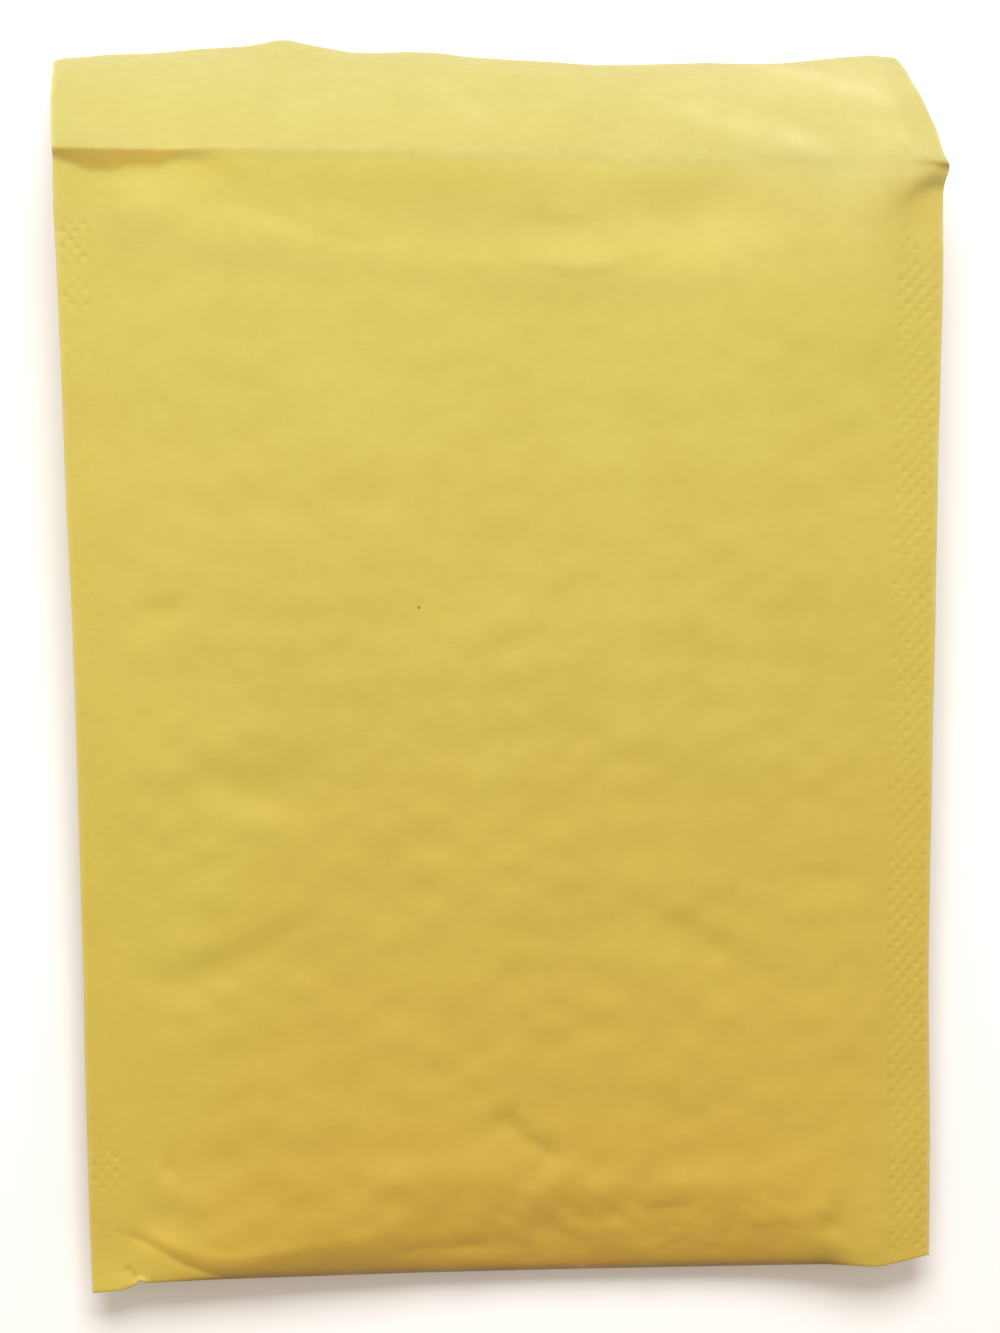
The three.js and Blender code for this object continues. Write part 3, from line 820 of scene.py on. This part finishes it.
def paint_wear_and_light(o):
    """Paint into the mesh its rubbed places (the flap's free edge, the side edges and the lip), a painted sheen along
    the flap's streaks and a painted highlight at its top left corner, and the painted light and shade of its colour
    attribute.
    """
    m = o.data
    uv = np.zeros(len(m.loops) * 2, np.float32)
    m.uv_layers["sheet"].data.foreach_get("uv", uv)
    at = np.zeros(len(m.loops), np.int32)
    m.loops.foreach_get("vertex_index", at)
    place = np.zeros((len(m.vertices), 2))
    place[at] = uv.reshape(-1, 2) * 1000
    u, w = place.T
    end = CREASE + FLAP - w
    wear_and_sheen = 0.9 * np.exp(-((end / 0.9) ** 2)) + 0.7 * np.exp(-(((HALF - np.abs(u)) / 0.6) ** 2))
    wear_and_sheen += 0.6 * np.exp(-(((w + LIP) / 0.6) ** 2))
    # a painted highlight where the flap's top left corner curls towards the light
    wear_and_sheen += 0.8 * spot(u, w, -80, CREASE + FLAP - 1.5, 10, 1.8, 3)
    co = np.zeros(len(m.vertices) * 3)
    m.vertices.foreach_get("co", co)
    x, y = co[0::3] * 1000, co[1::3] * 1000 + Y0
    # a painted sheen along the flap's streak ridges
    for line, high, wide in STREAKS:
        wear_and_sheen += np.where(w > CREASE, 1.9 * high * np.maximum(0, groove(x, y, line, -1, wide)), 0)
    wear_and_sheen *= 0.6 + 0.5 * noise(u, w, 6, 101)
    a = m.attributes.new("wear_and_sheen", "FLOAT", "POINT")
    a.data.foreach_set("value", np.clip(wear_and_sheen, 0, 1).astype(np.float32))
    # painted light and shade: warm painted bounce light and shade in the tuck under the left part of the crease, and
    # painted shade along the bottom fold
    painted_tuck_light = smooth(-0.3, 1.2, w - CREASE + knots(u, FACET)) * smooth(0.4, -0.4, w - CREASE) * smooth(-59, -63, u)
    painted_fold_shade = 0.9 * np.exp(-((np.maximum(w, 0) / 2.1) ** 1.2)) * np.exp(-((np.minimum(w, 0) / 0.9) ** 2)) * np.clip(knots(u, FALL) / 3, 0, 1) * (0.9 + 0.15 * noise(u, w, 9, 102))
    painted_light_and_tears = (1 + painted_tuck_light[:, None] * np.array([0.14, -0.05, -0.3])) * (1 - painted_fold_shade[:, None] * np.array([0.74, 0.80, 0.45]))
    # soft spots of painted light and shade: painted sheen on the flap's right part and under the crease's right part,
    # less sheen on the flap's left part, painted shade under the crease and on the right seal near its top, a painted
    # shadow in the notch at the crease's right tip, lighter patches over the shade of the folded-in lower left corner
    # and lighter and darker patches near the bottom fold; the last two spots are pale tears in the bottom fold
    for (cu, cw, along, across), much in (
        ((68, 240, 23, 13), (0.05, 0.07, 0.30)),
        ((45, 207.5, 22, 6.5), (0.07, 0.075, 0.18)),
        ((72, 224.5, 11, 4), (0.11, 0.12, 0.2)),
        ((66, 219.2, 16, 1.3), (-0.06, -0.05, 0.06)),
        ((-35, 245, 40, 15), (-0.03, -0.02, -0.07)),
        ((80, 30, 5, 35), (0.0, 0.0, 0.08)),
        ((79.5, 213, 5, 5), (-0.04, -0.09, -0.22)),
        ((-35, 217, 28, 4), (0.01, 0.0, -0.13)),
        ((-56, 219.8, 5, 2.2), (0.08, 0.04, -0.07)),
        ((81, 215.5, 4, 2), (0.06, 0.02, -0.04)),
        ((71, 216, 11, 5), (-0.03, -0.02, 0.13)),
        ((84.8, CREASE - 1.2, 2.2, 0.8), (-0.05, -0.22, -0.4)),
        ((-10, 217, 14, 3.5), (-0.04, -0.03, -0.02)),
        ((-71.5, 9.8, 3.5, 2.0), (0.22, 0.2, 0.16)),
        ((-61.5, 5.7, 5, 2.2), (0.19, 0.12, 0.06)),
        ((-38, 8, 16, 6), (-0.08, -0.06, -0.05)),
        ((-1, 18, 14, 4), (-0.06, -0.06, -0.03)),
        ((8, 8, 30, 4), (0.07, 0.06, 0.06)),
        ((-68, 55, 14, 30), (0.0, 0.05, 0.03)),
        ((-81, 2.5, 4.5, 3.5), (0.10, 0.17, 0.22)),
        ((-75.3, 0.9, 0.8, 0.6), (0.4, 0.5, 1.0)),
        ((12.2, 1.2, 0.5, 0.7), (0.3, 0.4, 0.8)),
    ):
        painted_light_and_tears *= 1 + spot(u, w, cu, cw, along, across)[:, None] * np.array(much)
    # store the painted light and shade, with the two pale tears, as a colour attribute
    a = m.attributes.new("painted_light_and_tears", "FLOAT_COLOR", "POINT")
    a.data.foreach_set("color", np.concatenate([painted_light_and_tears, np.ones((len(painted_light_and_tears), 1))], 1).astype(np.float32).ravel())


paint_wear_and_light(paper)
for piece, make, slot in (
    (paper, kraft_material, "kraft_paper"),
    (lining, film_material, "bubble_film"),
    (glue, glue_material, "adhesive"),
    (liner, liner_material, "release_paper"),
):
    piece.data.materials.append(make())
    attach(piece, "root")
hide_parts("kraft_sleeve")
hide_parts("bubble_lining")
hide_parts("adhesive_strip")
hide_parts("release_strip")

# ---------------------------------------------------------------------------
# Floor, light, camera
# ---------------------------------------------------------------------------


def floor():
    m = bpy.data.meshes.new("floor")
    s = 1.6
    m.from_pydata([(-s, -s, 0), (s, -s, 0), (s, s, 0), (-s, s, 0)], [], [(0, 1, 2, 3)])
    o = bpy.data.objects.new("floor", m)
    o.location.z = -0.0002
    bpy.context.scene.collection.objects.link(o)
    n = Nodes("floor")
    n.set(Base_Color=(0.93, 0.93, 0.93, 1), Roughness=0.9, Specular_IOR_Level=0.1)
    m.materials.append(n.mat)


floor()


def area(name, at, to, size, power, colour):
    d = bpy.data.lights.new(name, "AREA")
    d.shape = "RECTANGLE"
    d.size, d.size_y = size
    d.energy = power
    d.color = colour
    o = bpy.data.objects.new(name, d)
    o.location = at
    v = np.array(to) - np.array(at)
    o.rotation_euler = (math.atan2(math.hypot(v[0], v[1]), -v[2]), 0, math.atan2(v[0], -v[1]) + math.pi)
    bpy.context.scene.collection.objects.link(o)
    return o


area("key", (-0.05, 0.451, 0.552), (0, 0.02, 0.0), (0.45, 0.35), 5.5, (1.0, 1.0, 1.0))

world = bpy.data.worlds.new("studio")
bpy.context.scene.world = world
world.use_nodes = True
world.node_tree.nodes["Background"].inputs["Color"].default_value = (1.0, 0.88, 0.76, 1)
world.node_tree.nodes["Background"].inputs["Strength"].default_value = 0.62

camera = bpy.data.cameras.new("camera")
camera.sensor_fit = "VERTICAL"
camera.sensor_height = 36.0
camera.lens = 2850.8 * 36.0 / 1333
camera.clip_start = 0.01
eye = bpy.data.objects.new("camera", camera)
eye.location = (-0.065871, 0.0292, 0.568856)
eye.rotation_euler = (-0.045, -0.116, -0.025)
bpy.context.scene.collection.objects.link(eye)
bpy.context.scene.camera = eye

view = bpy.context.scene.view_settings
view.view_transform = "Standard"
view.look = "None"

bpy.context.view_layer.update()
